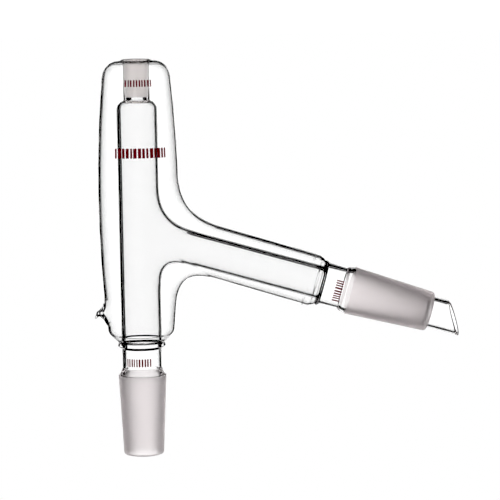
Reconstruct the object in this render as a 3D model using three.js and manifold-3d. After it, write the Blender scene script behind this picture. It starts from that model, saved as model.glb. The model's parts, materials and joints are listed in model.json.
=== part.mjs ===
// A vacuum-jacketed 75 degree distillation head in clear laboratory glass, in millimetres, +Z up.
// Vapour rises through the ground cone at the foot into the column tube. The drooping side arm
// carries it to a second ground cone with a drip tip. A ground socket at the top holds a
// thermometer. A second glass wall, the jacket, stands round the column and most of the arm. The
// space between the two walls is pumped out through a stub that is then melted shut.
// All pieces are blown or turned separately and fused; each seam is drawn as a thin gap.
import * as THREE from "three";
import { mergeVertices } from "three/addons/utils/BufferGeometryUtils.js";
import Module from "manifold-3d";

const wasm = await Module();
wasm.setup();

// Heights are measured up the column from the foot of the lower cone.
// Distances along the arm start where its axis crosses the column's axis.
const ROUND = 40; // facets round a turned piece
const ARC_STEPS = 4; // chords in a rounded corner
const BRANCH_STEPS = 6; // chords across the flare of a branch
const BARREL_STEPS = 8; // chords along the barrel
const SEAM = 0.1; // gap drawn between two fused pieces
const TURNED_SEAM = 0.3; // the same, where a turned group meets another one

// Ground joints, with the 1:10 taper that they all share.
const TAPER_RUN = 40; // length of the ground zone of a 24/40 cone
const TAPER_WIDE = 12; // its large radius
const TAPER_THIN = TAPER_WIDE - TAPER_RUN / 20; // its small radius
const NECK_R = 10.4;
const NECK_BORE = 8.7;
const NECK_SLOPE = 3; // length of the slope from the ground zone to the neck
const RING_WIDTH = 0.6; // flat ring at the wide end of the ground zone
const CONE_BORE = 8;

// Column, from the foot up.
const CONE_FOOT = 1.5; // rounded end below the ground zone
const NECK_TOP = 53;
const FOOT_TOP = 68; // upper edge of the bottom ring seal
const COLUMN_R = 10.4; // outside of the column tube
const COLUMN_BORE = 8.9;
const COLUMN_TOP = 176;
const SOCKET_FOOT = 184;
const SOCKET_TOP = 204;
const SOCKET_R = 6.65; // outside of the socket
const SOCKET_MOUTH = 5; // bore radius at the rim of the 10/18 socket
const SOCKET_THROAT = 4.1; // bore radius at the narrow end of its taper

// Jacket round the column: a barrel that is widest near its middle.
const JACKET_WALL = 1.3;
const BARREL_R = 19.9; // radius of the middle of the wall at the widest height
const BARREL_MIDDLE = 132;
const BARREL_HALF = 62;
const BARREL_SAG = 3; // how much narrower the barrel is BARREL_HALF above or below
const CROWN_FOOT = 195;
const CROWN_TOP = 203.3;

// Side arm.
const ARM_HEIGHT = 114.4; // where the two axes cross
const DROOP = THREE.MathUtils.degToRad(16);
const ARM_R = 8.4; // outside of the arm tube
const ARM_BORE = 7.2;
const ARM_START = 28; // where the drawn-out branch of the column tube ends
const ARM_END = 88; // where the arm tube meets the ring seal
const ARM_SEAL = 94.5;
const ARM_NECK = 98.5;
const ARM_CONE = 112;
const ARM_CONE_END = ARM_CONE + TAPER_RUN;
const SHOULDER = 155; // where the closed-in end of the arm cone meets the drip tip
const TIP_R = 8.2;
const TIP_BORE = 6.8;
const TIP_SHORT = 162.3; // reach of the bevelled drip tip on its upper side
const TIP_LONG = 172; // and on its lower side
const TIP_TURN = THREE.MathUtils.degToRad(6); // how far the bevel faces forwards

// Jacket round the arm. It droops a little more than the arm and meets it at the seal.
const ARM_JACKET_R = 13.35;
const ARM_JACKET_BORE = ARM_JACKET_R - JACKET_WALL;
const ARM_JACKET_START = 42;
const ARM_JACKET_END = 90;
const JACKET_DROOP = DROOP + THREE.MathUtils.degToRad(1.2);
const JACKET_LIFT = (ARM_SEAL * Math.sin(JACKET_DROOP - DROOP)) / Math.cos(JACKET_DROOP);

// How far each branch flares as it leaves its column: above the arm, below it and at its sides.
const ARM_FLARE = { above: 13, below: 9, beside: 1.2 };
const ARM_BORE_FLARE = { above: 11.5, below: 8, beside: 1.2 };
const JACKET_FLARE = { above: 20, below: 15, beside: 5 };
const JACKET_BORE_FLARE = { above: 18.5, below: 14, beside: 5 };
const SUNK = 0.15; // how far a flare's root is set into the wall that it leaves

// Closed vacuum stub, low on the side away from the arm.
const STUB_HEIGHT = 74; // where its axis leaves the middle of the barrel wall
const STUB_DROOP = THREE.MathUtils.degToRad(12);
const STUB_R = 6;
const STUB_LENGTH = 6.8; // from the middle of the barrel wall to the melted tip

// Fired enamel patches: height along the tube, how tall, and the angles from the front (-Y) at
// which each one starts and ends.
const ENAMEL = 0.25;
const ENAMEL_GAP = 0.1;
const JACKET_MARK = { height: 157, tall: 4.7, from: -31, to: 47 };
const SIZE_MARK = { height: 192, tall: 3.6, from: -16, to: 27 };
const POT_MARK = { height: 48.8, tall: 4.2, from: -42, to: 28 };
const ARM_MARK = { height: 105.5, tall: 4, from: -25, to: 41 };

const clearGlass = new THREE.MeshStandardMaterial({
  color: 0xe9eeee,
  roughness: 0.05,
  metalness: 0,
});
const groundGlass = new THREE.MeshStandardMaterial({
  color: 0xcfc8c8,
  roughness: 0.75,
  metalness: 0,
});
const redEnamel = new THREE.MeshStandardMaterial({
  color: 0x6b1a24,
  roughness: 0.4,
  metalness: 0,
});

// Closed outline of [radius, height, corner radius] corners, with each corner rounded by an arc.
function outline(corners) {
  const points = [];
  corners.forEach(([r, z, round = 0], i) => {
    const here = new THREE.Vector2(r, z);
    const [beforeR, beforeZ] = corners[(i + corners.length - 1) % corners.length];
    const [afterR, afterZ] = corners[(i + 1) % corners.length];
    if (round === 0) {
      points.push(here);
      return;
    }
    const back = new THREE.Vector2(beforeR, beforeZ).sub(here).normalize();
    const on = new THREE.Vector2(afterR, afterZ).sub(here).normalize();
    const halfAngle = Math.acos(THREE.MathUtils.clamp(back.dot(on), -1, 1)) / 2;
    const centre = back
      .clone()
      .add(on)
      .normalize()
      .multiplyScalar(round / Math.sin(halfAngle))
      .add(here);
    const cut = round / Math.tan(halfAngle);
    const from = back.multiplyScalar(cut).add(here).sub(centre);
    const to = on.multiplyScalar(cut).add(here).sub(centre);
    const sweep = Math.atan2(from.cross(to), from.dot(to));
    for (let k = 0; k <= ARC_STEPS; k++) {
      const spoke = from.clone().rotateAround(new THREE.Vector2(), (sweep * k) / ARC_STEPS);
      points.push(spoke.add(centre));
    }
  });
  return points;
}

// A closed outline turned about the Z axis.
function turned(points) {
  return new THREE.LatheGeometry([...points, points[0]], ROUND).rotateX(Math.PI / 2);
}

// A tube of one bore and one outer radius, between two heights.
function tube(bore, outer, low, high) {
  return turned(outline([[bore, low], [outer, low], [outer, high], [bore, high]]));
}

// A solid core whose radius is given at every height by a function.
function plug(radiusAt, low, high, steps) {
  const side = Array.from({ length: steps + 1 }, (_, i) => {
    const z = low + ((high - low) * i) / steps;
    return new THREE.Vector2(radiusAt(z), z);
  });
  const ends = [new THREE.Vector2(0, low), ...side, new THREE.Vector2(0, high)];
  return new THREE.LatheGeometry(ends, ROUND).rotateX(Math.PI / 2);
}

// A manifold-3d solid of a closed geometry.
function toSolid(geometry) {
  const bare = geometry.clone();
  bare.deleteAttribute("normal");
  bare.deleteAttribute("uv");
  const merged = mergeVertices(bare, 1e-4);
  return new wasm.Manifold(
    new wasm.Mesh({
      numProp: 3,
      vertProperties: merged.attributes.position.array,
      triVerts: new Uint32Array(merged.index.array),
    }),
  );
}

function toGeometry(solid) {
  const mesh = solid.getMesh();
  return new THREE.BufferGeometry()
    .setAttribute("position", new THREE.BufferAttribute(mesh.vertProperties, 3))
    .setIndex(new THREE.BufferAttribute(mesh.triVerts, 1));
}

// The solid that a branch adds to an upright column, or the bore that it takes out of it.
// Its wall leaves the column in a flare, which reaches furthest above the arm, less below it and
// least at its sides. Points lie at a distance along the arm and a radius from the arm's axis.
function branch({ height, droop, radius, end, flare, columnRadius }) {
  const along = new THREE.Vector3(Math.cos(droop), 0, -Math.sin(droop));
  const up = new THREE.Vector3(Math.sin(droop), 0, Math.cos(droop));
  const side = new THREE.Vector3(0, -1, 0);
  const rings = BRANCH_STEPS + 2;
  const positions = [0, 0, 0];
  for (let i = 0; i < ROUND; i++) {
    const turn = (2 * Math.PI * i) / ROUND;
    const cosine = Math.cos(turn);
    const sine = Math.sin(turn);
    const leaving = (r) => {
      const wall = columnRadius(height + r * cosine * Math.cos(droop) - radius * Math.tan(droop));
      const chord = Math.sqrt(wall * wall - (r * sine) ** 2);
      return (chord - r * cosine * Math.sin(droop)) / Math.cos(droop);
    };
    const furthest = cosine > 0 ? flare.above : flare.below;
    const reach = flare.beside + (furthest - flare.beside) * cosine ** 4;
    const flank = new THREE.QuadraticBezierCurve(
      new THREE.Vector2(leaving(radius + reach), radius + reach),
      new THREE.Vector2(leaving(radius), radius),
      new THREE.Vector2(leaving(radius) + reach, radius),
    );
    for (const p of [...flank.getPoints(BRANCH_STEPS), new THREE.Vector2(end, radius)]) {
      const spot = along
        .clone()
        .multiplyScalar(p.x)
        .addScaledVector(up, p.y * cosine)
        .addScaledVector(side, p.y * sine);
      positions.push(spot.x, spot.y, spot.z);
    }
  }
  const tip = along.clone().multiplyScalar(end);
  positions.push(tip.x, tip.y, tip.z);
  const last = 1 + ROUND * rings;
  const faces = [];
  for (let i = 0; i < ROUND; i++) {
    const here = 1 + i * rings;
    const next = 1 + ((i + 1) % ROUND) * rings;
    faces.push(0, next, here);
    for (let k = 0; k < rings - 1; k++) {
      faces.push(here + k, next + k, next + k + 1);
      faces.push(here + k, next + k + 1, here + k + 1);
    }
    faces.push(here + rings - 1, next + rings - 1, last);
  }
  return new THREE.BufferGeometry()
    .setAttribute("position", new THREE.Float32BufferAttribute(positions, 3))
    .setIndex(faces)
    .translate(0, 0, height);
}

const barrelRadius = (z) => BARREL_R - BARREL_SAG * ((z - BARREL_MIDDLE) / BARREL_HALF) ** 2;
const barrelOuter = (z) => barrelRadius(z) + JACKET_WALL / 2;
const barrelInner = (z) => barrelRadius(z) - JACKET_WALL / 2;

// Column tube with the short branch that the side arm is fused to.
function columnTube() {
  const low = FOOT_TOP + SEAM;
  const arm = { height: ARM_HEIGHT, droop: DROOP };
  const outer = branch({
    ...arm,
    radius: ARM_R,
    end: ARM_START,
    flare: ARM_FLARE,
    columnRadius: () => COLUMN_R - SUNK,
  });
  const bore = branch({
    ...arm,
    radius: ARM_BORE,
    end: ARM_START + 1,
    flare: ARM_BORE_FLARE,
    columnRadius: () => COLUMN_BORE - SUNK,
  });
  const wall = toSolid(plug(() => COLUMN_R, low, COLUMN_TOP, 1)).add(toSolid(outer));
  const hollow = toSolid(plug(() => COLUMN_BORE, low - 1, COLUMN_TOP + 1, 1)).add(toSolid(bore));
  return toGeometry(wall.subtract(hollow));
}

// Barrel of the jacket with the wider branch that goes round the side arm.
function jacketBody() {
  const low = FOOT_TOP + SEAM;
  const arm = { height: ARM_HEIGHT + JACKET_LIFT, droop: JACKET_DROOP };
  const outer = branch({
    ...arm,
    radius: ARM_JACKET_R,
    end: ARM_JACKET_START,
    flare: JACKET_FLARE,
    columnRadius: (z) => barrelOuter(z) - SUNK,
  });
  const bore = branch({
    ...arm,
    radius: ARM_JACKET_BORE,
    end: ARM_JACKET_START + 1,
    flare: JACKET_BORE_FLARE,
    columnRadius: (z) => barrelInner(z) - SUNK,
  });
  const wall = toSolid(plug(barrelOuter, low, CROWN_FOOT, BARREL_STEPS)).add(toSolid(outer));
  const core = plug(barrelInner, low - 1, CROWN_FOOT + 1, BARREL_STEPS);
  return toGeometry(wall.subtract(toSolid(core).add(toSolid(bore))));
}

// The foot, where neck, column tube and jacket run together.
function bottomRingSeal() {
  const low = NECK_TOP + SEAM;
  return turned(
    outline([
      [NECK_BORE, low],
      [NECK_R, low],
      [NECK_R + 1.5, low + 3.2, 1.5],
      [NECK_R + 1.1, low + 5.4, 0.6],
      [barrelOuter(FOOT_TOP), low + 7.6, 5],
      [barrelOuter(FOOT_TOP), FOOT_TOP],
      [barrelInner(FOOT_TOP), FOOT_TOP],
      [barrelInner(FOOT_TOP), low + 9.1, 3.7],
      [COLUMN_R, low + 6.4, 1],
      [COLUMN_R, FOOT_TOP],
      [COLUMN_BORE, FOOT_TOP],
    ]),
  );
}

// The crown, which closes the top of the jacket round the thermometer socket.
function topRingSeal() {
  const low = CROWN_FOOT + SEAM;
  const hole = SOCKET_R + SEAM;
  const foot = barrelOuter(CROWN_FOOT);
  return turned(
    outline([
      [foot - JACKET_WALL, low],
      [foot, low],
      [foot, CROWN_TOP, 9],
      [hole + 1.5, CROWN_TOP, 1],
      [hole + 0.5, CROWN_TOP + 0.5],
      [hole, CROWN_TOP + 0.5],
      [hole, CROWN_TOP - JACKET_WALL - 1],
      [hole + 1.2, CROWN_TOP - JACKET_WALL, 0.6],
      [foot - JACKET_WALL, CROWN_TOP - JACKET_WALL, 7.7],
    ]),
  );
}

// The end of the jacketed run, where arm, arm jacket and neck run together.
function armRingSeal() {
  const armFoot = ARM_END + SEAM;
  const jacketFoot = ARM_JACKET_END + TURNED_SEAM;
  return turned(
    outline([
      [ARM_BORE, armFoot],
      [ARM_R, armFoot],
      [ARM_R, ARM_SEAL - 2, 0.8],
      [ARM_JACKET_BORE, ARM_SEAL - 2, 1.5],
      [ARM_JACKET_BORE, jacketFoot],
      [ARM_JACKET_R, jacketFoot],
      [ARM_JACKET_R, ARM_SEAL, 3.2],
      [NECK_R, ARM_SEAL + 0.4, 0.6],
      [NECK_R + 0.6, ARM_SEAL + 2, 1],
      [NECK_R, ARM_NECK],
      [NECK_BORE, ARM_NECK],
      [ARM_BORE, ARM_SEAL, 2],
    ]),
  );
}

// Lower ground cone and its neck.
function potJoint() {
  const wide = CONE_FOOT + TAPER_RUN;
  return turned(
    outline([
      [CONE_BORE, 0, 0.4],
      [TAPER_THIN, 0, 1],
      [TAPER_THIN, CONE_FOOT],
      [TAPER_WIDE, wide],
      [TAPER_WIDE - RING_WIDTH, wide],
      [NECK_R, wide + NECK_SLOPE],
      [NECK_R, NECK_TOP],
      [NECK_BORE, NECK_TOP],
      [NECK_BORE, wide],
    ]),
  );
}

// Ground cone at the end of the arm, closed in to the drip tip.
function armJoint() {
  return turned(
    outline([
      [NECK_BORE, ARM_NECK + SEAM],
      [NECK_R, ARM_NECK + SEAM],
      [NECK_R, ARM_CONE - NECK_SLOPE],
      [TAPER_WIDE - RING_WIDTH, ARM_CONE],
      [TAPER_WIDE, ARM_CONE],
      [TAPER_THIN, ARM_CONE_END],
      [TAPER_THIN, SHOULDER - 0.4, 2],
      [TIP_R, SHOULDER],
      [TIP_BORE, SHOULDER],
      [CONE_BORE, ARM_CONE_END, 2],
      [NECK_BORE, ARM_CONE],
    ]),
  );
}

// Bevelled drip tip. In the arm's own frame +X is the side that faces down.
function dripTip() {
  const slope = Math.atan2(TIP_LONG - TIP_SHORT, 2 * TIP_R);
  const knife = new THREE.BoxGeometry(60, 60, 60)
    .translate(0, 0, 30)
    .rotateX(TIP_TURN)
    .rotateY(-slope)
    .translate(0, 0, (TIP_SHORT + TIP_LONG) / 2);
  const pipe = tube(TIP_BORE, TIP_R, SHOULDER + SEAM, TIP_LONG + 2);
  return toGeometry(toSolid(pipe).subtract(toSolid(knife)));
}

// Shoulder that narrows the column tube to the socket.
function socketSeal() {
  const low = COLUMN_TOP + SEAM;
  return turned(
    outline([
      [COLUMN_BORE, low],
      [COLUMN_R, low],
      [COLUMN_R, SOCKET_FOOT - 1.8, 4],
      [SOCKET_R, SOCKET_FOOT - 0.6, 0.5],
      [SOCKET_R, SOCKET_FOOT],
      [SOCKET_THROAT, SOCKET_FOOT],
      [SOCKET_THROAT, SOCKET_FOOT - 3.4, 0.5],
      [COLUMN_BORE, SOCKET_FOOT - 4, 2.5],
    ]),
  );
}

// 10/18 socket with its tapered, ground bore.
function thermometerSocket() {
  return turned(
    outline([
      [SOCKET_THROAT, SOCKET_FOOT + SEAM],
      [SOCKET_R, SOCKET_FOOT + SEAM],
      [SOCKET_R, SOCKET_TOP, 0.3],
      [SOCKET_MOUTH, SOCKET_TOP, 0.3],
    ]),
  );
}

// Melted-off vacuum stub, with its foot cut to lie on the barrel.
function vacuumTipOff() {
  const flank = new THREE.CubicBezierCurve(
    new THREE.Vector2(STUB_R, -1),
    new THREE.Vector2(STUB_R * 0.6, STUB_LENGTH * 0.4),
    new THREE.Vector2(1.5, STUB_LENGTH * 0.5),
    new THREE.Vector2(0.9, STUB_LENGTH - 0.5),
  );
  const shape = [
    new THREE.Vector2(0, -1),
    ...flank.getPoints(8),
    new THREE.Vector2(0.55, STUB_LENGTH - 0.1),
    new THREE.Vector2(0, STUB_LENGTH),
  ];
  const stub = new THREE.LatheGeometry(shape, ROUND)
    .rotateX(Math.PI / 2)
    .rotateY(-Math.PI / 2 - STUB_DROOP)
    .translate(-barrelRadius(STUB_HEIGHT), 0, STUB_HEIGHT);
  const wall = plug((z) => barrelOuter(z) + SEAM, FOOT_TOP, BARREL_MIDDLE, BARREL_STEPS / 2);
  return toGeometry(toSolid(stub).subtract(toSolid(wall)));
}

// Enamel patch on an upright tube, between two angles from the front (-Y) towards +X.
function enamelPatch(radius, { from, to, tall }) {
  const start = THREE.MathUtils.degToRad(from - 90);
  const finish = THREE.MathUtils.degToRad(to - 90);
  const inner = radius + ENAMEL_GAP;
  const shape = new THREE.Shape()
    .absarc(0, 0, inner + ENAMEL, start, finish, false)
    .absarc(0, 0, inner, finish, start, true);
  return new THREE.ExtrudeGeometry(shape, {
    depth: tall,
    bevelEnabled: false,
    curveSegments: 16,
  }).translate(0, 0, -tall / 2);
}

function piece(parent, name, geometry, material, height = 0) {
  const mesh = new THREE.Mesh(geometry, material);
  mesh.name = name;
  mesh.position.z = height;
  parent.add(mesh);
}

const head = new THREE.Group();
const column = new THREE.Group();
head.add(column);

piece(column, "pot_joint", potJoint(), groundGlass);
piece(column, "bottom_ring_seal", bottomRingSeal(), clearGlass);
piece(column, "column_tube", columnTube(), clearGlass);
piece(column, "socket_seal", socketSeal(), clearGlass);
piece(column, "thermometer_socket", thermometerSocket(), groundGlass);
piece(column, "jacket_body", jacketBody(), clearGlass);
piece(column, "top_ring_seal", topRingSeal(), clearGlass);
piece(column, "vacuum_tip_off", vacuumTipOff(), clearGlass);

// A patch on the barrel clears it at the patch's lower edge, where the barrel is wider.
const barrelPatch = (mark) => enamelPatch(barrelOuter(mark.height - mark.tall / 2), mark);
piece(column, "jacket_mark", barrelPatch(JACKET_MARK), redEnamel, JACKET_MARK.height);
piece(column, "socket_size_mark", barrelPatch(SIZE_MARK), redEnamel, SIZE_MARK.height);
piece(column, "pot_joint_mark", enamelPatch(NECK_R, POT_MARK), redEnamel, POT_MARK.height);

// The arm's own +Z runs away from the column.
const arm = new THREE.Group();
arm.position.z = ARM_HEIGHT;
arm.rotation.y = Math.PI / 2 + DROOP;
column.add(arm);
const sideArm = tube(ARM_BORE, ARM_R, ARM_START + SEAM, ARM_END);
piece(arm, "side_arm_tube", sideArm, clearGlass);
piece(arm, "arm_ring_seal", armRingSeal(), clearGlass);
piece(arm, "arm_joint", armJoint(), groundGlass);
piece(arm, "drip_tip", dripTip(), clearGlass);
piece(arm, "arm_joint_mark", enamelPatch(NECK_R, ARM_MARK), redEnamel, ARM_MARK.height);

// The arm jacket turns about the seal, where its axis meets the arm's.
const armJacket = new THREE.Group();
armJacket.position.z = ARM_SEAL;
armJacket.rotation.y = JACKET_DROOP - DROOP;
arm.add(armJacket);
const nearEnd = ARM_JACKET_START + SEAM - ARM_SEAL;
const farEnd = ARM_JACKET_END - ARM_SEAL;
const jacketTube = tube(ARM_JACKET_BORE, ARM_JACKET_R, nearEnd, farEnd);
piece(armJacket, "jacket_arm", jacketTube, clearGlass);

// The part's origin is the middle of the bottom of its box.
column.updateMatrixWorld(true);
const box = new THREE.Box3().setFromObject(column, true);
column.position.x = -(box.min.x + box.max.x) / 2;
column.position.y = -(box.min.y + box.max.y) / 2;
column.position.z = -box.min.z;

export default head;
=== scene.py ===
"""A vacuum-jacketed distillation head in clear laboratory glass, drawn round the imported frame.

Every piece is drawn afresh as smooth, hollow glass. Straight runs and joints are turned outlines.
Where an arm leaves an upright tube, both walls are the zero surface of a distance field, so that
one tube flows into the other as blown glass does. In life all the glass is fused, so the faces
where two pieces meet are clear through: light crosses a seam without bending.
Lengths are in millimetres until a mesh is made.
"""

import json
import math
import random

import bmesh
import bpy
import numpy as np
from mathutils import Matrix, Vector


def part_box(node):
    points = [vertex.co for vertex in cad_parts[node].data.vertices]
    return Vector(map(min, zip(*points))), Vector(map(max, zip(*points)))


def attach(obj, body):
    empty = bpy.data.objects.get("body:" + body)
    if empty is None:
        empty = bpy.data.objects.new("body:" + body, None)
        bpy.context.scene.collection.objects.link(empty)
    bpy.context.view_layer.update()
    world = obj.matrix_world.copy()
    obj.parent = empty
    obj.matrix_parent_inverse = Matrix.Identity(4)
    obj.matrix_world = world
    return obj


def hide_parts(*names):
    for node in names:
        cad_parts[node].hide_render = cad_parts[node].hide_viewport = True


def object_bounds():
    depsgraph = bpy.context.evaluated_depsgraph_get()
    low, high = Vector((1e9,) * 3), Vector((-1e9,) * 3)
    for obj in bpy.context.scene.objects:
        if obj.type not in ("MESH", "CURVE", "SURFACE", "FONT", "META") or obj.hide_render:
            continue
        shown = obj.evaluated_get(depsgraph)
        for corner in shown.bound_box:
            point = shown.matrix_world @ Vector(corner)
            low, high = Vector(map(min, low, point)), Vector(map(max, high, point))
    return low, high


MM = 0.001

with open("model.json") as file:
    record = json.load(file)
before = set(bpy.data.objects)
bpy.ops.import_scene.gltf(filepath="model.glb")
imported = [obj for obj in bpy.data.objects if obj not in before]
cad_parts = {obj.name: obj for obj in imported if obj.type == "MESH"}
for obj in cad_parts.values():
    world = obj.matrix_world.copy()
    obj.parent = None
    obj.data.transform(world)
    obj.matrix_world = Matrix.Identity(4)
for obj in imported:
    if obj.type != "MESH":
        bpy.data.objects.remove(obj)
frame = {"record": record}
CAD_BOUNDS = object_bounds()

# ---------------------------------------------------------------- places, from the frame


def low(node):
    """Lowest corner of a node's box, in millimetres."""
    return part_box(node)[0] / MM


def high(node):
    """Highest corner of a node's box, in millimetres."""
    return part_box(node)[1] / MM


def half_width(node):
    """Radius of a turned piece: half its box across the plane of column and arm."""
    return (high(node).y - low(node).y) / 2


def mount(name):
    """Point, in millimetres, and outward direction of one of the record's mounts."""
    found = next(m for m in frame["record"]["mounts"] if m["name"] == name)
    return np.array(found["pos_m"]) / MM, np.array(found["axis"])


class Axis:
    """A straight line that tubes are turned about, with a direction called up across it."""

    def __init__(self, origin, along, up):
        self.origin = np.array(origin, float)
        self.along = np.array(along, float)
        self.up = np.array(up, float)
        self.side = np.cross(self.along, self.up)

    def at(self, distance):
        return self.origin + self.along * distance

    def split(self, points):
        """Distance along the axis, height towards up and offset to the side of many points."""
        offset = points - self.origin
        return offset @ self.along, offset @ self.up, offset @ self.side

    def spokes(self, angles):
        """Unit vectors away from the axis; angle 0 is up."""
        return np.outer(np.cos(angles), self.up) + np.outer(np.sin(angles), self.side)


COLUMN_X = (low("pot_joint").x + high("pot_joint").x) / 2
COLUMN = Axis((COLUMN_X, 0, 0), (0, 0, 1), (1, 0, 0))

# The outermost sliver of a glass wall stays bright, so tubes that are seen against the light are
# drawn this much wider than their CAD solids, to look as wide as they should.
BRIGHT_SLIVER = 0.3
BARREL_SLIVER = 0.2

CONE_WIDE = half_width("pot_joint") + BRIGHT_SLIVER
NECK_TOP = high("pot_joint").z
FOOT_TOP = high("bottom_ring_seal").z
COLUMN_R = half_width("socket_seal")
COLUMN_TOP = high("column_tube").z
SOCKET_FOOT = high("socket_seal").z
SOCKET_TOP = high("thermometer_socket").z
SOCKET_R = half_width("thermometer_socket")
BARREL_R = half_width("jacket_body") + BARREL_SLIVER
CROWN_FOOT = high("jacket_body").z
CROWN_TOP = high("top_ring_seal").z
ARM_R = half_width("side_arm_tube") + BRIGHT_SLIVER
ARM_JACKET_R = half_width("jacket_arm") + BRIGHT_SLIVER
TIP_R = half_width("drip_tip")
STUB_END = low("vacuum_tip_off").x

# ---------------------------------------------------------------- what a box can't tell

RING_WIDTH = 0.6  # flat ring at the wide end of each ground zone
TAPER_RUN = 40  # a ground zone's length
TAPER = 1 / 20  # and how much its radius falls per millimetre
CONE_FOOT = 1.5  # rounded end below the ground zone
CONE_BORE = 8
NECK_R = 10.2
NECK_BORE = 9.1
COLUMN_BORE = COLUMN_R - 1.1
ARM_BORE = ARM_R - 1.4
ARM_NECK_R = 11.3
ARM_NECK_FALL = 0.4  # how much the neck narrows towards the cone
ARM_NECK_BORE = 9.5
TIP_BORE = TIP_R - 1.5
JACKET_WALL = 1.0
ARM_JACKET_BORE = ARM_JACKET_R - 1.3
SOCKET_THROAT = 4.1

BARREL_MIDDLE = 132  # height where the barrel is widest
BARREL_SAG = 3.0 / 62**2  # how fast it narrows away from there

CROWN = CROWN_TOP - 0.5  # height of the crown away from the collar round the socket
CROWN_WALL = 0.7
CROWN_LEAN = 1.3  # how far the crown's shoulder leans in from the top of the barrel
CROWN_HOLE_LOW = CROWN - CROWN_WALL - 1.3  # lowest point where crown and socket are fused

JACKET_TILT = math.radians(1.2)  # how much more the arm's jacket droops than the arm
SEAL_WIDTH = 4.5  # half length of the piece that seals the arm to its jacket

TIP_EXTRA = 0.5  # how much further the tip is drawn than its CAD solid reaches
BEVEL_RUN = 9.7  # how much longer the tip is below than above
BEVEL_TURN = 0.2  # how far the bevel faces to the side, as a slope
BEVEL_ROUNDING = 1.1

# Reaches of the fillets round the arm: above it, below it and beside it.
COLUMN_OUTER_FILLET = 17, 14, 3
COLUMN_INNER_FILLET = 18, 16, 3
BARREL_OUTER_FILLET = 20, 18, 6
BARREL_INNER_FILLET = 21, 20, 6
FADE = 6  # distance beyond the arm's start over which its fillet grows to its full reach


def barrel_middle(z):
    """Radius of the middle of the barrel's wall at a height."""
    return BARREL_R - JACKET_WALL / 2 - BARREL_SAG * (z - BARREL_MIDDLE) ** 2


def barrel_slope(z):
    """How fast that radius grows with height."""
    return -2 * BARREL_SAG * (z - BARREL_MIDDLE)


def barrel_outer(z):
    return barrel_middle(z) + JACKET_WALL / 2


def barrel_inner(z):
    return barrel_middle(z) - JACKET_WALL / 2


def arm_axis():
    """The arm's axis, and how far along it the ring at the wide end of its ground cone is."""
    ring, facing = mount("arm_joint_shoulder")
    along = -facing / np.linalg.norm(facing)
    up = np.array((-along[2], 0, along[0]))
    on_axis = ring - up * (half_width("pot_joint") - RING_WIDTH / 2)
    distance = (on_axis[0] - COLUMN_X) / along[0]
    return Axis(on_axis - along * distance, along, up), distance


def drooped(axis, pivot, angle):
    """The same axis, turned to droop by a further angle about a point along it."""
    along = axis.along * math.cos(angle) - axis.up * math.sin(angle)
    up = axis.up * math.cos(angle) + axis.along * math.sin(angle)
    start = axis.at(pivot) - along * pivot
    return Axis(start + along * (COLUMN_X - start[0]) / along[0], along, up)


def end_of(node, axis, radius):
    """How far along a drooping axis a node ends, if it ends square at a radius."""
    return (high(node).x - COLUMN_X - radius * axis.up[0]) / axis.along[0]


ARM, CONE_START = arm_axis()
CONE_END = CONE_START + TAPER_RUN
SHOULDER = CONE_END + 3
ARM_SEAL = CONE_START - 17.5
ARM_NECK = CONE_START - 13.5
ARM_NECK_END = CONE_START - 4.2
ARM_JACKET = drooped(ARM, ARM_SEAL, JACKET_TILT)
BRANCH_END = end_of("column_tube", ARM, ARM_R)
JACKET_BRANCH_END = end_of("jacket_body", ARM_JACKET, ARM_JACKET_R)

# ---------------------------------------------------------------- materials


def new_material(name):
    """A material whose node tree holds only the output."""
    material = bpy.data.materials.new(name)
    material.use_nodes = True
    tree = material.node_tree
    tree.nodes.clear()
    return material, tree, tree.nodes.new("ShaderNodeOutputMaterial")


def noise(tree, scale, detail):
    """Noise in the object's own coordinates, with its scale in waves per metre."""
    place = tree.nodes.new("ShaderNodeTexCoord")
    texture = tree.nodes.new("ShaderNodeTexNoise")
    texture.inputs["Scale"].default_value = scale
    texture.inputs["Detail"].default_value = detail
    tree.links.new(place.outputs["Object"], texture.inputs["Vector"])
    return texture.outputs["Fac"]


def bump(tree, heights, depth):
    """Bump of a given depth in metres from a height pattern."""
    node = tree.nodes.new("ShaderNodeBump")
    node.inputs["Distance"].default_value = depth
    tree.links.new(heights, node.inputs["Height"])
    return node.outputs["Normal"]


def spread(tree, value, lowest, highest):
    """A 0 to 1 value spread between two numbers."""
    node = tree.nodes.new("ShaderNodeMapRange")
    node.inputs["To Min"].default_value = lowest
    node.inputs["To Max"].default_value = highest
    tree.links.new(value, node.inputs["Value"])
    return node.outputs["Result"]


def colours(tree, value, first, last, start=0.0, end=1.0):
    """Colour that runs from one to another as a value runs from start to end."""
    node = tree.nodes.new("ShaderNodeValToRGB")
    for stop, position, colour in zip(node.color_ramp.elements, (start, end), (first, last)):
        stop.position = position
        stop.color = (*colour, 1)
    tree.links.new(value, node.inputs["Fac"])
    return node.outputs["Color"]


def glass_shader(tree, colour):
    """Borosilicate glass of a colour, which light passes through."""
    shader = tree.nodes.new("ShaderNodeBsdfPrincipled")
    shader.inputs["Base Color"].default_value = (*colour, 1)
    shader.inputs["IOR"].default_value = 1.47
    shader.inputs["Transmission Weight"].default_value = 1.0
    return shader


def clear_glass():
    """Borosilicate tubing: colourless, with the slow ripple that flame work leaves."""
    material, tree, output = new_material("clear_glass")
    shader = glass_shader(tree, (0.99, 0.99, 0.99))
    shader.inputs["Roughness"].default_value = 0.0
    ripple = bump(tree, noise(tree, scale=60, detail=1), depth=0.0001)
    tree.links.new(ripple, shader.inputs["Normal"])
    tree.links.new(shader.outputs["BSDF"], output.inputs["Surface"])
    return material


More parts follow.
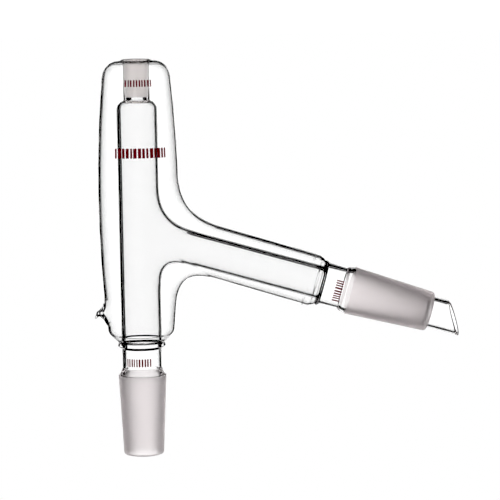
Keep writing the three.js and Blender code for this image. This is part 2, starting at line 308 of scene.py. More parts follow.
def along_arm(tree, start, end):
    """A value that rises from 0 to 1 between two distances along the arm."""
    place = tree.nodes.new("ShaderNodeTexCoord")
    parts = tree.nodes.new("ShaderNodeSeparateXYZ")
    tree.links.new(place.outputs["Object"], parts.inputs["Vector"])
    node = tree.nodes.new("ShaderNodeMapRange")
    node.inputs["From Min"].default_value = ARM.at(start)[0] * MM
    node.inputs["From Max"].default_value = ARM.at(end)[0] * MM
    tree.links.new(parts.outputs["X"], node.inputs["Value"])
    return node.outputs["Result"]


# Painted shade: the arm's cone is coloured darker towards its end, as if less light reached it
# there.
ARM_END_PAINTED_SHADE = 0.95  # share of its colour that the arm's cone keeps at its end


def ground_glass(name, colour, smoothest, roughest, clear_share, on_arm=False):
    """Surface ground with grit: rough both ways, part matt and slightly warm.

    It is uneven in patches, or, on the arm, rougher towards the end of the cone, where its colour
    is also darkened with painted shade.
    """
    material, tree, output = new_material(name)
    shader = glass_shader(tree, colour)
    shader.inputs["Transmission Weight"].default_value = clear_share
    pattern = along_arm(tree, CONE_START, CONE_END) if on_arm else noise(tree, scale=250, detail=3)
    if on_arm:
        # Painted shade: the colour darkens along the cone towards its end.
        painted_shade_colour = [part * ARM_END_PAINTED_SHADE for part in colour]
        tree.links.new(colours(tree, pattern, colour, painted_shade_colour), shader.inputs["Base Color"])
    tree.links.new(spread(tree, pattern, smoothest, roughest), shader.inputs["Roughness"])
    grain = bump(tree, noise(tree, scale=6000, detail=2), depth=0.00002)
    tree.links.new(grain, shader.inputs["Normal"])
    tree.links.new(shader.outputs["BSDF"], output.inputs["Surface"])
    return material


def red_enamel():
    """Dark red fired enamel, slightly mottled."""
    material, tree, output = new_material("red_enamel")
    shader = tree.nodes.new("ShaderNodeBsdfPrincipled")
    shader.inputs["Roughness"].default_value = 0.45
    dark, light = (0.06, 0.005, 0.009), (0.13, 0.011, 0.02)
    patches = noise(tree, scale=1500, detail=3)
    mottled = colours(tree, patches, dark, light, start=0.3, end=0.7)
    tree.links.new(mottled, shader.inputs["Base Color"])
    grain = bump(tree, noise(tree, scale=3000, detail=2), depth=0.00002)
    tree.links.new(grain, shader.inputs["Normal"])
    tree.links.new(shader.outputs["BSDF"], output.inputs["Surface"])
    return material


def fused_seam():
    """Where two fused pieces meet there is no surface, so light passes straight on."""
    material, tree, output = new_material("fused_seam")
    shader = tree.nodes.new("ShaderNodeBsdfTransparent")
    tree.links.new(shader.outputs["BSDF"], output.inputs["Surface"])
    return material


# The lower cone uses GROUND, the socket's bore FINE_GROUND and the arm's cone
# COARSE_GROUND_PAINTED_SHADE.
CLEAR, ENAMEL, SEAM = "clear_glass", "red_enamel", "fused_seam"
GROUND, FINE_GROUND, COARSE_GROUND_PAINTED_SHADE = "ground_glass", "fine_ground_glass", "coarse_ground_glass"
MATERIALS = {
    CLEAR: clear_glass(),
    GROUND: ground_glass(
        GROUND, (0.84, 0.79, 0.795), smoothest=0.42, roughest=0.56, clear_share=0.88
    ),
    FINE_GROUND: ground_glass(
        FINE_GROUND, (0.95, 0.91, 0.9), smoothest=0.2, roughest=0.3, clear_share=0.3
    ),
    # The arm's cone: coarser grit, and painted shade that darkens its colour towards its end.
    COARSE_GROUND_PAINTED_SHADE: ground_glass(
        COARSE_GROUND_PAINTED_SHADE,
        (0.82, 0.765, 0.77),
        smoothest=0.42,
        roughest=0.72,
        clear_share=0.92,
        on_arm=True,
    ),
    ENAMEL: red_enamel(),
    SEAM: fused_seam(),
}

# ---------------------------------------------------------------- meshes


def make_piece(node, vertices, faces, kinds, normals):
    """A mesh object that stands for a CAD node, from points in millimetres, with a material
    kind for each face and a normal for each corner of a face."""
    mesh = bpy.data.meshes.new(node + "_visual")
    mesh.from_pydata((np.asarray(vertices) * MM).tolist(), [], faces)
    used = sorted(set(kinds))
    for kind in used:
        mesh.materials.append(MATERIALS[kind])
    mesh.polygons.foreach_set("material_index", [used.index(kind) for kind in kinds])
    mesh.polygons.foreach_set("use_smooth", [True] * len(faces))
    mesh.update()
    mesh.normals_split_custom_set(np.asarray(normals).tolist())
    piece = bpy.data.objects.new(mesh.name, mesh)
    bpy.context.scene.collection.objects.link(piece)
    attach(piece, "root")
    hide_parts(node)


ARC_STEP = math.radians(6)
SEGMENTS = 160


def turned_left(heading, angle):
    """A direction in the plane, turned left by an angle."""
    c, s = math.cos(angle), math.sin(angle)
    return np.array((heading[0] * c - heading[1] * s, heading[0] * s + heading[1] * c))


def outward(heading):
    """Outward normal of a side that runs in a direction, with the glass on its left."""
    return np.array((heading[1], -heading[0]))


def sides_of(corners):
    """Sides of a closed outline as (start, normal at the start, normal at the end, kind).

    A corner is (radius, distance, rounding, kind). Its kind goes to the arc that rounds it and
    to the straight side that leaves it. The outline runs with the glass on its left.
    """
    points = [np.array(corner[:2], float) for corner in corners]
    sides = []
    for i, (_, _, rounding, kind) in enumerate(corners):
        came = points[i] - points[i - 1]
        goes = points[(i + 1) % len(points)] - points[i]
        came, goes = came / np.linalg.norm(came), goes / np.linalg.norm(goes)
        turn = math.atan2(came[0] * goes[1] - came[1] * goes[0], came @ goes)
        steps = math.ceil(abs(turn) / ARC_STEP) if rounding else 0
        heading, place = came, points[i] - came * abs(rounding * math.tan(turn / 2))
        for _ in range(steps):
            angle = turn / steps
            chord = 2 * rounding * abs(math.sin(angle / 2))
            ahead = turned_left(heading, angle)
            sides.append((place, outward(heading), outward(ahead), kind))
            place = place + turned_left(heading, angle / 2) * chord
            heading = ahead
        sides.append((place, outward(goes), outward(goes), kind))
    return sides


def turned(node, axis, corners):
    """A piece turned about an axis from the corners of a closed outline."""
    sides = sides_of(corners)
    spokes = axis.spokes(np.linspace(0, 2 * math.pi, SEGMENTS, endpoint=False))
    vertices = [axis.at(start[1]) + start[0] * spokes for start, *_ in sides]
    faces, kinds, normals = [], [], []
    for i, (_, first, last, kind) in enumerate(sides):
        here = i * SEGMENTS
        after = (i + 1) % len(sides) * SEGMENTS
        starts = spokes * first[0] + axis.along * first[1]
        ends = spokes * last[0] + axis.along * last[1]
        for k in range(SEGMENTS):
            n = (k + 1) % SEGMENTS
            faces.append((here + k, here + n, after + n, after + k))
            kinds.append(kind)
            normals += [starts[k], starts[n], ends[n], ends[k]]
    make_piece(node, np.concatenate(vertices), faces, kinds, normals)


# ---------------------------------------------------------------- distance fields


def soft_union(a, b, reach):
    """Union of two distances, with a fillet that starts a reach away from the corner."""
    overlap = np.maximum(reach - np.abs(a - b), 0) / reach
    return np.minimum(a, b) - overlap**2 * reach / 4


def soft_cut(a, b, reach):
    """What is inside a and outside b, with its edge rounded off."""
    return -soft_union(-a, b, reach)


def rod(points, axis, radius):
    """Distance to a rod along an axis that starts, rounded, at the axis's origin."""
    distance, height, offset = axis.split(points)
    return np.sqrt(height**2 + offset**2 + np.minimum(distance, 0) ** 2) - radius


def cone_rod(points, start, end, thick, thin):
    """Distance to a rod with round ends whose radius runs from thick to thin."""
    along = end - start
    share = np.clip((points - start) @ along / (along @ along), 0, 1)
    nearest = start + share[:, None] * along
    return np.linalg.norm(points - nearest, axis=1) - thick - (thin - thick) * share


def fillet_reach(points, axis, above, below, beside):
    """Reach of the fillet round an arm: it differs above, below and beside the arm, and fades
    out behind the arm's start."""
    _, height, offset = axis.split(points)
    share = height / np.sqrt(height**2 + offset**2 + 1e-9)
    over = np.maximum(share, 0) ** 2
    under = np.maximum(-share, 0) ** 2
    reach = beside + (above - beside) * over + (below - beside) * under
    return reach * np.clip((points[:, 0] - axis.origin[0]) / FADE, 0.01, 1)


def gradient(field, points, step=0.02):
    """Unit gradient of a field at many points."""
    slopes = np.stack(
        [field(points + step * unit) - field(points - step * unit) for unit in np.eye(3)], 1
    )
    return slopes / np.linalg.norm(slopes, axis=1, keepdims=True)


def settle(field, points, rounds=6):
    """Moves points onto the zero surface of a field."""
    for _ in range(rounds):
        points = points - field(points)[:, None] * gradient(field, points)
    return points


def surface_net(field, lowest, highest, step):
    """Points and quads over the zero surface of a field, inside a box.

    Each grid edge that crosses the surface gives a quad between the four cells round the edge,
    and each such cell gives a point.
    """
    ticks = [np.arange(a, b + step, step) for a, b in zip(lowest, highest)]
    grid = np.stack(np.meshgrid(*ticks, indexing="ij"), -1)
    values = field(grid.reshape(-1, 3)).reshape(grid.shape[:3])
    shape = values.shape
    quads, crossings = [], []
    for axis in range(3):
        ahead, one, two = np.roll(np.eye(3, dtype=int), -axis, 0)
        here = np.take(values, range(shape[axis] - 1), axis)
        there = np.take(values, range(1, shape[axis]), axis)
        for found, order in (((here < 0) & (there >= 0), 1), ((here >= 0) & (there < 0), -1)):
            spots = np.argwhere(found)
            spots = spots[(spots @ one > 0) & (spots @ two > 0)]
            first, last = values[tuple(spots.T)], values[tuple((spots + ahead).T)]
            share = first / (first - last)
            crossings.append(grid[tuple(spots.T)] + share[:, None] * ahead * step)
            round_it = [spots - one - two, spots - two, spots, spots - one]
            cells = [np.ravel_multi_index(tuple(c.T), shape) for c in round_it]
            quads.append(np.stack(cells, 1)[:, ::order])
    used, faces = np.unique(np.concatenate(quads), return_inverse=True)
    faces = faces.reshape(-1, 4)
    total = np.zeros((len(used), 3))
    np.add.at(total, faces.ravel(), np.repeat(np.concatenate(crossings), 4, 0))
    count = np.bincount(faces.ravel(), minlength=len(used))
    return settle(field, total / count[:, None]), faces


CAP_FACE = 1  # material index of the faces that close an end, until a mesh is made


def close_end(shell, point, facing, reach):
    """Cuts the walls near a point at a plane, and closes what lies between them."""
    near = [f for f in shell.faces if (f.calc_center_median() - Vector(point)).length < reach]
    parts = set(near)
    for face in near:
        parts.update(face.verts)
        parts.update(face.edges)
    cut = bmesh.ops.bisect_plane(
        shell, geom=list(parts), plane_co=point, plane_no=facing, clear_outer=True, dist=0.01
    )
    rim = [e for e in cut["geom_cut"] if isinstance(e, bmesh.types.BMEdge) and e.is_boundary]
    made = bmesh.ops.triangle_fill(shell, edges=rim, use_beauty=True)
    caps = [face for face in made["geom"] if isinstance(face, bmesh.types.BMFace)]
    for face in caps:
        face.normal_update()
        if face.normal.dot(Vector(facing)) < 0:
            face.normal_flip()
        face.material_index = CAP_FACE


def blown(node, walls, box, step, ends):
    """A piece bounded by the zero surfaces of some fields, cut off square at its ends.

    Each wall is (field, 1) if the glass is inside the surface and (field, -1) if it is outside.
    Each end is (point on the cut, direction out of the piece, how far off walls are cut).
    """
    shell = bmesh.new()
    for field, sign in walls:
        points, quads = surface_net(field, *box, step)
        made = [shell.verts.new(p) for p in points]
        for quad in quads[:, ::sign]:
            shell.faces.new([made[i] for i in quad])
    for end in ends:
        close_end(shell, *end)
    shell.verts.index_update()
    vertices = np.array([v.co for v in shell.verts])
    faces = [tuple(v.index for v in face.verts) for face in shell.faces]
    kinds = [SEAM if face.material_index == CAP_FACE else CLEAR for face in shell.faces]
    distances = np.stack([np.abs(field(vertices)) for field, _ in walls], 1)
    slopes = np.stack([sign * gradient(field, vertices) for field, sign in walls], 1)
    at_walls = slopes[np.arange(len(vertices)), distances.argmin(1)]
    normals = []
    for face in shell.faces:
        if face.material_index == CAP_FACE:
            normals += [np.array(face.normal)] * len(face.verts)
        else:
            normals += [at_walls[v.index] for v in face.verts]
    shell.free()
    make_piece(node, vertices, faces, kinds, normals)


# ---------------------------------------------------------------- tees


def column_field(points, column_r, arm_r, fillet):
    """Column tube with the arm that leaves it, at one wall."""
    upright = np.hypot(points[:, 0] - COLUMN_X, points[:, 1]) - column_r
    return soft_union(upright, rod(points, ARM, arm_r), fillet_reach(points, ARM, *fillet))


def column_outer(points):
    return column_field(points, COLUMN_R, ARM_R, COLUMN_OUTER_FILLET)


def column_inner(points):
    return column_field(points, COLUMN_BORE, ARM_BORE, COLUMN_INNER_FILLET)


def barrel_field(points, wall, arm_r, fillet):
    """Barrel with the arm's jacket, at a distance from the middle of the barrel's wall."""
    radius = np.hypot(points[:, 0] - COLUMN_X, points[:, 1])
    z = points[:, 2]
    upright = (radius - barrel_middle(z) - wall) / np.sqrt(1 + barrel_slope(z) ** 2)
    reach = fillet_reach(points, ARM_JACKET, *fillet)
    return soft_union(upright, rod(points, ARM_JACKET, arm_r), reach)


# The stub tapers from its root inside the barrel to an apex, and hangs down there in a small nib.
STUB_Z = 73.6
STUB_ROOT = np.array((COLUMN_X - barrel_middle(STUB_Z) + 3, 0, STUB_Z + 0.6))
STUB_APEX = np.array((STUB_END + 2.2, 0, STUB_Z))
STUB_NIB = np.array((STUB_END + 0.5, 0, STUB_Z - 2.2))
STUB_HOLLOW_END = STUB_ROOT + (STUB_APEX - STUB_ROOT) * 0.75
STUB_CUT = np.array((COLUMN_X - barrel_outer(STUB_Z) - 1.5, 0, STUB_Z))
STUB_RADII = 6.6, 1.2  # at the start and at the end of each tapered part
STUB_HOLLOW_RADII = 5.6, 0.5
STUB_NIB_RADII = 1.0, 0.5
STUB_NIB_FILLET = 0.8
STUB_OUTER_FILLET = 5  # reach of the fillet between the barrel and the stub
STUB_INNER_FILLET = 6


def jacket_outer(points):
    barrel = barrel_field(points, JACKET_WALL / 2, ARM_JACKET_R, BARREL_OUTER_FILLET)
    taper = cone_rod(points, STUB_ROOT, STUB_APEX, *STUB_RADII)
    nib = cone_rod(points, STUB_APEX, STUB_NIB, *STUB_NIB_RADII)
    stub = soft_union(taper, nib, STUB_NIB_FILLET)
    return soft_union(barrel, stub, STUB_OUTER_FILLET)


def jacket_inner(points):
    barrel = barrel_field(points, -JACKET_WALL / 2, ARM_JACKET_BORE, BARREL_INNER_FILLET)
    hollow = cone_rod(points, STUB_ROOT, STUB_HOLLOW_END, *STUB_HOLLOW_RADII)
    return soft_union(barrel, hollow, STUB_INNER_FILLET)


def column_tube():
    box = (
        (COLUMN_X - COLUMN_R - 2, -COLUMN_R - 2, FOOT_TOP - 2),
        (COLUMN_X + BRANCH_END + 5, COLUMN_R + 2, COLUMN_TOP + 2),
    )
    ends = [
        (COLUMN.at(FOOT_TOP), (0, 0, -1), 20),
        (COLUMN.at(COLUMN_TOP), (0, 0, 1), 20),
        (ARM.at(BRANCH_END), ARM.along, 14),
    ]
    walls = [(column_outer, 1), (column_inner, -1)]
    blown("column_tube", walls, box, 0.7, ends)


def jacket_body():
    box = (
        (STUB_END - 2, -BARREL_R - 2, FOOT_TOP - 2),
        (COLUMN_X + JACKET_BRANCH_END + 4, BARREL_R + 2, CROWN_FOOT + 2),
    )
    ends = [
        (COLUMN.at(FOOT_TOP), (0, 0, -1), 25),
        (COLUMN.at(CROWN_FOOT), (0, 0, 1), 25),
        (ARM_JACKET.at(JACKET_BRANCH_END), ARM_JACKET.along, 22),
        (STUB_CUT, (-1, 0, 0), 7),
    ]
    walls = [(jacket_outer, 1), (jacket_inner, -1)]
    blown("jacket_body", walls, box, 1.0, ends)


def vacuum_tip_off():
    box = ((STUB_END - 1, -8, STUB_Z - 8), (STUB_CUT[0] + 1, 8, STUB_Z + 8))
    walls = [(jacket_outer, 1), (jacket_inner, -1)]
    blown("vacuum_tip_off", walls, box, 0.3, [(STUB_CUT, (1, 0, 0), 20)])


def drip_tip():
    """A short tube cut at a bevel, longest underneath and slightly turned to the front."""
    cad_reach = (high("drip_tip").x - COLUMN_X + TIP_R * ARM.up[0]) / ARM.along[0]
    longest = cad_reach + TIP_EXTRA
    bevel = ARM.along + ARM.up * BEVEL_RUN / (2 * TIP_R) + ARM.side * BEVEL_TURN
    bevel = bevel / np.linalg.norm(bevel)
    middle = ARM.at(longest - BEVEL_RUN / 2)

    def wall(points):
        _, height, offset = ARM.split(points)
        radius = np.hypot(height, offset)
        tube_wall = soft_cut(radius - TIP_R, radius - TIP_BORE, 0.2)
        return soft_cut(tube_wall, -((points - middle) @ bevel), BEVEL_ROUNDING)

    first, last = ARM.at(SHOULDER), ARM.at(longest)
    box = (np.minimum(first, last) - TIP_R - 2, np.maximum(first, last) + TIP_R + 2)
    blown("drip_tip", [(wall, 1)], box, 0.3, [(first, -ARM.along, 20)])


# ---------------------------------------------------------------- turned pieces


def pot_joint():
    wide = CONE_FOOT + TAPER_RUN
    narrow = CONE_WIDE - TAPER_RUN * TAPER
    corners = [
        (CONE_BORE, 0, 0.8, GROUND),
        (narrow, 0, 1.4, GROUND),
        (CONE_WIDE, wide, 0, CLEAR),
        (CONE_WIDE - RING_WIDTH, wide + 0.3, 0.5, CLEAR),
        (NECK_R, wide + 3.4, 2.5, CLEAR),
        (NECK_R, NECK_TOP, 0, SEAM),
        (NECK_BORE, NECK_TOP, 0, CLEAR),
        (NECK_BORE, wide + 1.5, 3, CLEAR),
        (CONE_WIDE - 2.2, wide - 2, 2, CLEAR),
    ]
    turned("pot_joint", COLUMN, corners)


def bottom_ring_seal():
    """The neck flares over a bead to the jacket; the column tube is fused in just above."""
    slope = barrel_slope(FOOT_TOP)
    turn = NECK_TOP + 10.6
    corners = [
        (NECK_BORE, NECK_TOP, 0, SEAM),
        (NECK_R, NECK_TOP, 0, CLEAR),
        (NECK_R, NECK_TOP + 2.2, 0.4, CLEAR),
        (NECK_R + 2.1, NECK_TOP + 3.6, 0.5, CLEAR),
        (NECK_R + 1.7, NECK_TOP + 5.4, 0.7, CLEAR),
        (barrel_outer(FOOT_TOP) - slope * (FOOT_TOP - turn), turn, 5.0, CLEAR),
        (barrel_outer(FOOT_TOP), FOOT_TOP, 0, SEAM),
        (barrel_inner(FOOT_TOP), FOOT_TOP, 0, CLEAR),
        (barrel_inner(FOOT_TOP) - slope * (FOOT_TOP - turn - 0.5), turn + 0.5, 4.2, CLEAR),
        (COLUMN_R + 2.0, NECK_TOP + 6.8, 0.8, CLEAR),
        (COLUMN_R, NECK_TOP + 6.5, 0.3, CLEAR),
        (COLUMN_R, FOOT_TOP, 0, SEAM),
        (COLUMN_BORE, FOOT_TOP, 0, CLEAR),
        (COLUMN_BORE, NECK_TOP + 5, 0, CLEAR),
    ]
    turned("bottom_ring_seal", COLUMN, corners)


def socket_seal():
    """A thin domed shoulder from the column tube in to the socket."""
    corners = [
        (COLUMN_BORE, COLUMN_TOP, 0, SEAM),
        (COLUMN_R, COLUMN_TOP, 0, CLEAR),
        (COLUMN_R, SOCKET_FOOT - 3.9, 4.8, CLEAR),
        (COLUMN_R - 2.4, SOCKET_FOOT - 1.5, 2.2, CLEAR),
        (SOCKET_R, SOCKET_FOOT - 1.2, 0.6, CLEAR),
        (SOCKET_R, SOCKET_FOOT, 0, SEAM),
        (SOCKET_THROAT, SOCKET_FOOT, 0, CLEAR),
        (SOCKET_THROAT, SOCKET_FOOT - 2.1, 0.6, CLEAR),
        (COLUMN_R - 2.9, SOCKET_FOOT - 2.4, 1.5, CLEAR),
        (COLUMN_BORE, SOCKET_FOOT - 4.3, 3.8, CLEAR),
    ]
    turned("socket_seal", COLUMN, corners)


def thermometer_socket():
    """The bore is ground up to a clear lip. The crown is fused to the outside near the top."""
    lip = SOCKET_TOP - 0.6
    at_lip = SOCKET_THROAT + (lip - SOCKET_FOOT) * TAPER
    corners = [
        (SOCKET_THROAT, SOCKET_FOOT, 0, SEAM),
        (SOCKET_R, SOCKET_FOOT, 0, CLEAR),
        (SOCKET_R, CROWN_HOLE_LOW, 0, SEAM),
        (SOCKET_R, CROWN_TOP, 0, CLEAR),
        (SOCKET_R, SOCKET_TOP, 0.15, CLEAR),
        (at_lip + 0.35, SOCKET_TOP, 0.5, CLEAR),
        (at_lip, lip, 0, FINE_GROUND),
        (SOCKET_THROAT + TAPER, SOCKET_FOOT + 0.5, 0, CLEAR),
    ]
    turned("thermometer_socket", COLUMN, corners)


def top_ring_seal():
    """The crown: it closes the jacket and rises in a small collar round the socket."""
    ceiling = CROWN - CROWN_WALL
    corners = [
        (barrel_inner(CROWN_FOOT), CROWN_FOOT, 0, SEAM),
        (barrel_outer(CROWN_FOOT), CROWN_FOOT, 0, CLEAR),
        (barrel_outer(CROWN_FOOT) - CROWN_LEAN, CROWN - 0.4, 8.8, CLEAR),
        (SOCKET_R + 1.6, CROWN, 1.5, CLEAR),
        (SOCKET_R + 0.3, CROWN_TOP, 0.2, CLEAR),
        (SOCKET_R, CROWN_TOP, 0, SEAM),
        (SOCKET_R, CROWN_HOLE_LOW, 0, CLEAR),
        (SOCKET_R + 0.4, ceiling - 0.2, 0.8, CLEAR),
        (barrel_inner(CROWN_FOOT) - CROWN_LEAN, ceiling - 0.4, 7.8, CLEAR),
    ]
    turned("top_ring_seal", COLUMN, corners)


def arm_ring_seal():
    """The jacket slopes in to a bead, where the arm's tube and the cone's neck meet it."""
    foot = ARM_SEAL - SEAL_WIDTH
    corners = [
        (ARM_BORE, foot, 0, SEAM),
        (ARM_R, foot, 0, CLEAR),
        (ARM_R, ARM_SEAL + 0.8, 0.3, CLEAR),
        (ARM_NECK_R - 0.3, ARM_SEAL + 0.8, 0.4, CLEAR),
        (ARM_JACKET_BORE, ARM_SEAL - 1.7, 2.6, CLEAR),
        (ARM_JACKET_BORE, foot, 0, SEAM),
        (ARM_JACKET_R, foot, 0, CLEAR),
        (ARM_JACKET_R, ARM_SEAL - 1.2, 3.6, CLEAR),
        (ARM_NECK_R + 0.4, ARM_SEAL + 1.6, 0.5, CLEAR),
        (ARM_NECK_R + 0.6, ARM_SEAL + 2.8, 0.6, CLEAR),
        (ARM_NECK_R, ARM_SEAL + 3.4, 0.3, CLEAR),
        (ARM_NECK_R, ARM_NECK, 0, SEAM),
        (ARM_NECK_BORE, ARM_NECK, 0, CLEAR),
        (ARM_NECK_BORE, ARM_SEAL + 2.6, 0.4, CLEAR),
        (ARM_BORE, ARM_SEAL + 2.1, 0.4, CLEAR),
    ]
    turned("arm_ring_seal", ARM, corners)


def tube(node, axis, outer, bore, start, end):
    """A straight tube, fused to its neighbours at both ends."""
    corners = [
        (bore, start, 0, SEAM),
        (outer, start, 0, CLEAR),
        (outer, end, 0, SEAM),
        (bore, end, 0, CLEAR),
    ]
    turned(node, axis, corners)


def side_arm_tube():
    tube("side_arm_tube", ARM, ARM_R, ARM_BORE, BRANCH_END, ARM_SEAL - SEAL_WIDTH)


def jacket_arm():
    end = ARM_JACKET.split(ARM.at(ARM_SEAL - SEAL_WIDTH))[0]
    tube("jacket_arm", ARM_JACKET, ARM_JACKET_R, ARM_JACKET_BORE, JACKET_BRANCH_END, end)


def arm_joint():
    narrow = CONE_WIDE - TAPER_RUN * TAPER
    corners = [
        (ARM_NECK_BORE, ARM_NECK, 0, SEAM),
        (ARM_NECK_R, ARM_NECK, 0, CLEAR),
        (ARM_NECK_R - ARM_NECK_FALL, ARM_NECK_END, 0.6, CLEAR),
        (CONE_WIDE - RING_WIDTH, ARM_NECK_END + 1.4, 0.6, CLEAR),
        (CONE_WIDE, CONE_START, 0, COARSE_GROUND_PAINTED_SHADE),
        (narrow, CONE_END + 0.8, 0, COARSE_GROUND_PAINTED_SHADE),
        (narrow - 0.2, SHOULDER - 0.2, 1.7, COARSE_GROUND_PAINTED_SHADE),
        (TIP_R, SHOULDER - 0.1, 0, CLEAR),
        (TIP_R, SHOULDER, 0, SEAM),
        (TIP_BORE, SHOULDER, 0, CLEAR),
        (TIP_BORE, SHOULDER - 1.5, 0.6, CLEAR),
        (CONE_BORE, CONE_END - 0.5, 1.5, CLEAR),
        (CONE_WIDE - 2.2, CONE_START, 1.0, CLEAR),
        (ARM_NECK_BORE, ARM_NECK_END + 0.5, 0.6, CLEAR),
    ]
    turned("arm_joint", ARM, corners)


# ---------------------------------------------------------------- enamel marks

ENAMEL_GAP = 0.02
ENAMEL_THICK = 0.12
BAR_EDGE = 0.06  # how far a bar's face is drawn in from its foot
BOLD_BARS = 0.9, 1.9  # least and greatest width of a bar
THIN_BARS = 0.6, 0.9
BAR_SPACES = 0.5, 0.8  # and of the space after it
LEAST_BAR = 0.4  # no bar is started where less than this is left
JACKET_MARK_TALL = 5.0
SOCKET_MARK_TALL = 3.4
POT_MARK_TALL = 4.0
ARM_MARK_TALL = 3.8
ARM_MARK_TURN = -25, 41  # degrees from the front at which the arm's mark starts and ends


def bar(axis, radius_at, turn, run):
    """Points and quads of one bar on a round wall, between two angles and two distances."""
    rows = 4
    lines = 2 + math.ceil((turn[1] - turn[0]) / math.radians(2))
    edge = BAR_EDGE / radius_at(run[0])
    face = (turn[0] + edge, turn[1] - edge), (run[0] + BAR_EDGE, run[1] - BAR_EDGE)
    points = []
    for (angles, distances), proud in (((turn, run), 0), (face, ENAMEL_THICK)):
        for distance in np.linspace(*distances, rows):
            spokes = axis.spokes(np.linspace(*angles, lines))
            radius = radius_at(distance) + ENAMEL_GAP + proud
            points.append(axis.at(distance) + spokes * radius)
    above = rows * lines
    faces = []
    for row in range(rows - 1):
        for k in range(lines - 1):
            a = row * lines + k
            quad = (a, a + 1, a + lines + 1, a + lines)
            faces += [quad[::-1], tuple(i + above for i in quad)]
    rim = list(range(lines))
    rim += [row * lines + lines - 1 for row in range(1, rows)]
    rim += [(rows - 1) * lines + k for k in range(lines - 2, -1, -1)]
    rim += [row * lines for row in range(rows - 2, 0, -1)]
    for a, b in zip(rim, rim[1:] + rim[:1]):
        faces.append((a, b, b + above, a + above))
    return np.concatenate(points), faces


def enamel(node, axis, radius_at, middle, turn, tall, widths, seed):
    """A row of upright bars of uneven width, between two angles."""
    dice = random.Random(seed)
    radius = radius_at(middle)
    run = (middle - tall / 2, middle + tall / 2)
    points, faces = np.empty((0, 3)), []
    angle = turn[0]
    while angle < turn[1] - LEAST_BAR / radius:
        width = min(dice.uniform(*widths) / radius, turn[1] - angle)
        added, around = bar(axis, radius_at, (angle, angle + width), run)
        faces += [tuple(i + len(points) for i in face) for face in around]
        points = np.concatenate([points, added])
        angle += width + dice.uniform(*BAR_SPACES) / radius
    normals = []
    for a, b, c, _ in points[np.array(faces)]:
        normal = np.cross(b - a, c - b)
        normals += [normal / np.linalg.norm(normal)] * 4
    make_piece(node, points, faces, [ENAMEL] * len(faces), normals)


def column_mark(node, radius_at, tall, widths, seed):
    """Bars on the front of the column, over the width that the CAD patch has."""
    middle = (low(node).z + high(node).z) / 2
    reaches = [(x - COLUMN_X) / radius_at(middle) for x in (low(node).x, high(node).x)]
    turn = [math.asin(reach) - math.pi / 2 for reach in reaches]
    enamel(node, COLUMN, radius_at, middle, turn, tall, widths, seed)


def arm_neck_outer(distance):
    """Radius of the neck, which narrows a little towards the cone."""
    share = (distance - ARM_NECK) / (ARM_NECK_END - ARM_NECK)
    return ARM_NECK_R - ARM_NECK_FALL * share


def arm_mark():
    """Bars on the front of the neck of the arm's cone."""
    node = "arm_joint_mark"
    middle = ARM.split(np.array(low(node) + high(node)) / 2)[0]
    turn = [math.pi / 2 + math.radians(angle) for angle in ARM_MARK_TURN]
    enamel(node, ARM, arm_neck_outer, middle, turn, ARM_MARK_TALL, THIN_BARS, 4)


# ---------------------------------------------------------------- studio


def camera_only(tree, for_camera, otherwise):
    """Mixes two shaders: the first where the camera looks straight at it."""
    light_path = tree.nodes.new("ShaderNodeLightPath")
    mix = tree.nodes.new("ShaderNodeMixShader")
    tree.links.new(light_path.outputs["Is Camera Ray"], mix.inputs[0])
    tree.links.new(otherwise, mix.inputs[1])
    tree.links.new(for_camera, mix.inputs[2])
    return mix.outputs["Shader"]


FLOOR_HALF = 30  # metres
FLOOR_GAP = 0.0005  # metres between the floor and the lowest glass


def floor():
    """A plain white floor under the glass, as bright as the backdrop."""
    material, tree, output = new_material("floor")
    white = tree.nodes.new("ShaderNodeEmission")
    clear = tree.nodes.new("ShaderNodeBsdfTransparent")
    surface = camera_only(tree, white.outputs["Emission"], clear.outputs["BSDF"])
    tree.links.new(surface, output.inputs["Surface"])
    mesh = bpy.data.meshes.new("floor")
    signs = [(-1, -1), (1, -1), (1, 1), (-1, 1)]
    corners = [(x * FLOOR_HALF, y * FLOOR_HALF, 0) for x, y in signs]
    mesh.from_pydata(corners, [], [(0, 1, 2, 3)])
    mesh.materials.append(material)
    plane = bpy.data.objects.new("floor", mesh)
    plane.location.z = CAD_BOUNDS[0].z - FLOOR_GAP
    bpy.context.scene.collection.objects.link(plane)


PANEL = {  # edges of the bright panel, in degrees away from straight ahead
    "left": -16,
    "right": 17,
    "bottom": -28,
    "top": 15,
}
PANEL_SOFTNESS = 0.8  # half width of its soft edge, in degrees
PANEL_STRENGTH = 1.3
ROOM_STRENGTH = 0.03  # light that reaches the glass from behind the camera
MATT_STRENGTH = 2.0  # light that reaches matt surfaces


def ramp(tree, value, dark, bright):
    """0 where a value is at dark and 1 where it is at bright, with a smooth step between."""
    node = tree.nodes.new("ShaderNodeMapRange")
    node.interpolation_type = "SMOOTHSTEP"
    node.inputs["From Min"].default_value = dark
    node.inputs["From Max"].default_value = bright
    tree.links.new(value, node.inputs["Value"])
    return node.outputs["Result"]


def combine(tree, operation, first, second):
    """One sum or product of two values; the second may be a plain number."""
    node = tree.nodes.new("ShaderNodeMath")
    node.operation = operation
    tree.links.new(first, node.inputs[0])
    if isinstance(second, (int, float)):
        node.inputs[1].default_value = second
    else:
        tree.links.new(second, node.inputs[1])
    return node.outputs["Value"]


def camera_direction(tree):
    """Sideways, upward and forward parts of a ray's direction, as the camera sees them."""
    place = tree.nodes.new("ShaderNodeTexCoord")
    to_camera = tree.nodes.new("ShaderNodeVectorTransform")
    to_camera.vector_type = "VECTOR"
    to_camera.convert_from = "WORLD"
    to_camera.convert_to = "CAMERA"
    parts = tree.nodes.new("ShaderNodeSeparateXYZ")
    tree.links.new(place.outputs["Generated"], to_camera.inputs["Vector"])
    tree.links.new(to_camera.outputs["Vector"], parts.inputs["Vector"])
    return parts.outputs["X"], parts.outputs["Y"], parts.outputs["Z"]


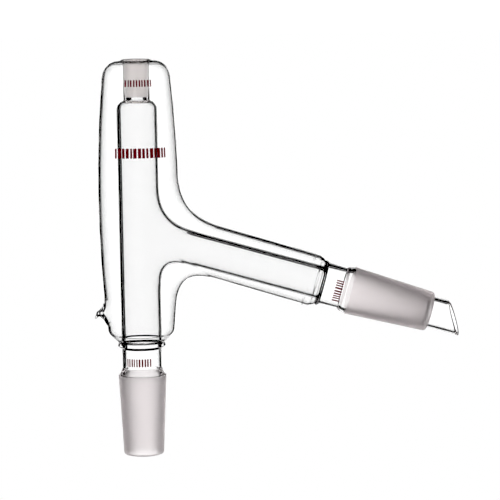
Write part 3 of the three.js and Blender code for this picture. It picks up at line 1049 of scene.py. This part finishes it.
def backdrop():
    """Bright field: a soft panel fills the view behind the glass, so walls seen edge-on go dark.

    It keeps its place before the camera, so the glass is lit alike from every side.
    """
    world = bpy.data.worlds.new("studio")
    bpy.context.scene.world = world
    world.use_nodes = True
    tree = world.node_tree
    tree.nodes.clear()
    sideways, upward, forward = camera_direction(tree)
    panel = ramp(tree, forward, 0, 0.1)  # nothing behind the camera
    edges = [("left", sideways, 1), ("right", sideways, -1)]
    edges += [("bottom", upward, 1), ("top", upward, -1)]
    for name, value, inward in edges:
        dark = math.sin(math.radians(PANEL[name] - inward * PANEL_SOFTNESS))
        bright = math.sin(math.radians(PANEL[name] + inward * PANEL_SOFTNESS))
        panel = combine(tree, "MULTIPLY", panel, ramp(tree, value, dark, bright))
    room = combine(tree, "MULTIPLY", ramp(tree, forward, -0.2, -0.6), ROOM_STRENGTH)
    light = combine(tree, "ADD", combine(tree, "MULTIPLY", panel, PANEL_STRENGTH), room)
    light_path = tree.nodes.new("ShaderNodeLightPath")
    scattered = combine(tree, "MINIMUM", light_path.outputs["Diffuse Depth"], 1)
    matt = combine(tree, "MULTIPLY", scattered, MATT_STRENGTH)
    light = combine(tree, "MAXIMUM", light, matt)
    light = combine(tree, "MAXIMUM", light, light_path.outputs["Is Camera Ray"])
    background = tree.nodes.new("ShaderNodeBackground")
    tree.links.new(light, background.inputs["Strength"])
    background.inputs["Color"].default_value = (1, 1, 1, 1)
    output = tree.nodes.new("ShaderNodeOutputWorld")
    tree.links.new(background.outputs["Background"], output.inputs["Surface"])


ELEVATION = math.radians(6.2)
ROLL = math.radians(0.93)
AIM = Vector((COLUMN_X + 56.6, 0, 105.2))
DISTANCE = 1100
VIEW_WIDTH = 257  # what the picture's width spans at the aim
SENSOR = 36
DEEPEST = 0.05  # light that is drawn as black


def camera():
    data = bpy.data.cameras.new("camera")
    data.sensor_width = SENSOR
    data.lens = SENSOR * DISTANCE / VIEW_WIDTH
    data.clip_start = 0.01
    data.clip_end = 100
    eye = bpy.data.objects.new("camera", data)
    back = Vector((0, -math.cos(ELEVATION), math.sin(ELEVATION)))
    turn = (-back).to_track_quat("-Z", "Y").to_matrix() @ Matrix.Rotation(-ROLL, 3, "Z")
    eye.matrix_world = Matrix.LocRotScale((AIM + back * DISTANCE) * MM, turn, None)
    bpy.context.scene.collection.objects.link(eye)
    bpy.context.scene.camera = eye


MOST_BOUNCES = 32  # light crosses many walls of glass


def render_settings():
    scene = bpy.context.scene
    scene.view_settings.view_transform = "Standard"
    scene.view_settings.use_curve_mapping = True
    scene.view_settings.curve_mapping.black_level = (DEEPEST,) * 3
    scene.view_settings.curve_mapping.update()
    kinds = ("max", "diffuse", "glossy", "transmission", "transparent_max")
    for kind in kinds:
        setattr(scene.cycles, kind + "_bounces", MOST_BOUNCES)


# ---------------------------------------------------------------- the whole

pot_joint()
bottom_ring_seal()
column_tube()
socket_seal()
thermometer_socket()
side_arm_tube()
arm_ring_seal()
arm_joint()
drip_tip()
jacket_body()
jacket_arm()
top_ring_seal()
vacuum_tip_off()
column_mark("jacket_mark", barrel_outer, JACKET_MARK_TALL, BOLD_BARS, 1)
column_mark("socket_size_mark", barrel_outer, SOCKET_MARK_TALL, THIN_BARS, 2)
column_mark("pot_joint_mark", lambda z: NECK_R, POT_MARK_TALL, THIN_BARS, 3)
arm_mark()

floor()
backdrop()
camera()
render_settings()
